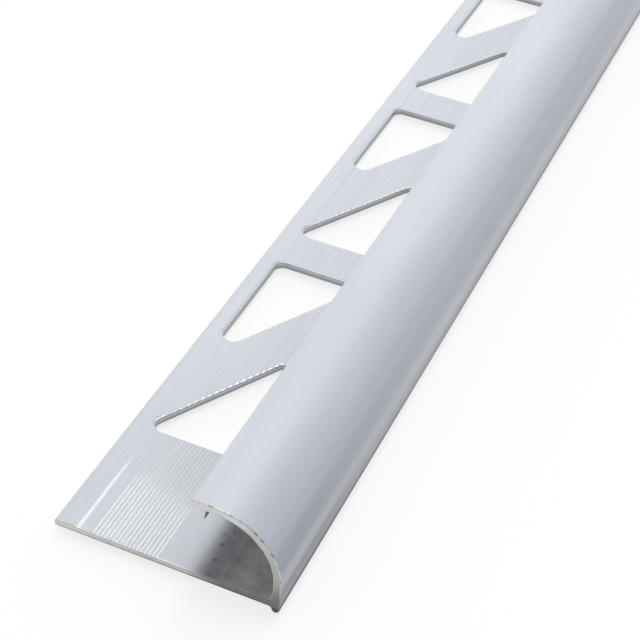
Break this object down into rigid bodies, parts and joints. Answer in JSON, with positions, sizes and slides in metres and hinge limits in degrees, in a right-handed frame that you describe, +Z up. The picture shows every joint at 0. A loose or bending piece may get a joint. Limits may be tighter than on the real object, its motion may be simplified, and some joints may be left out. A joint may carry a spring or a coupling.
{
  "type": "tile edge trim",
  "caption": "Quarter-round aluminium edge profile with a hollow nose and a punched, ribbed anchoring leg that is bedded under the tiles to cover their cut edge.",
  "frame": {"origin": "under the middle of the piece, at the level of the bottom of the foot below the nose", "axes": "+Y along the length, +X across the profile from the leg's free edge to the nose, +Z up from the leg to the nose's top"},
  "size_m": [0.0234, 1, 0.0106],
  "materials": {
    "anodised_aluminium": "matt silver anodised, with bare metal on the sawn ends and in the punched holes"
  },
  "bodies": {
    "root": {"trim_profile": "anodised_aluminium"}
  },
  "joints": []
}
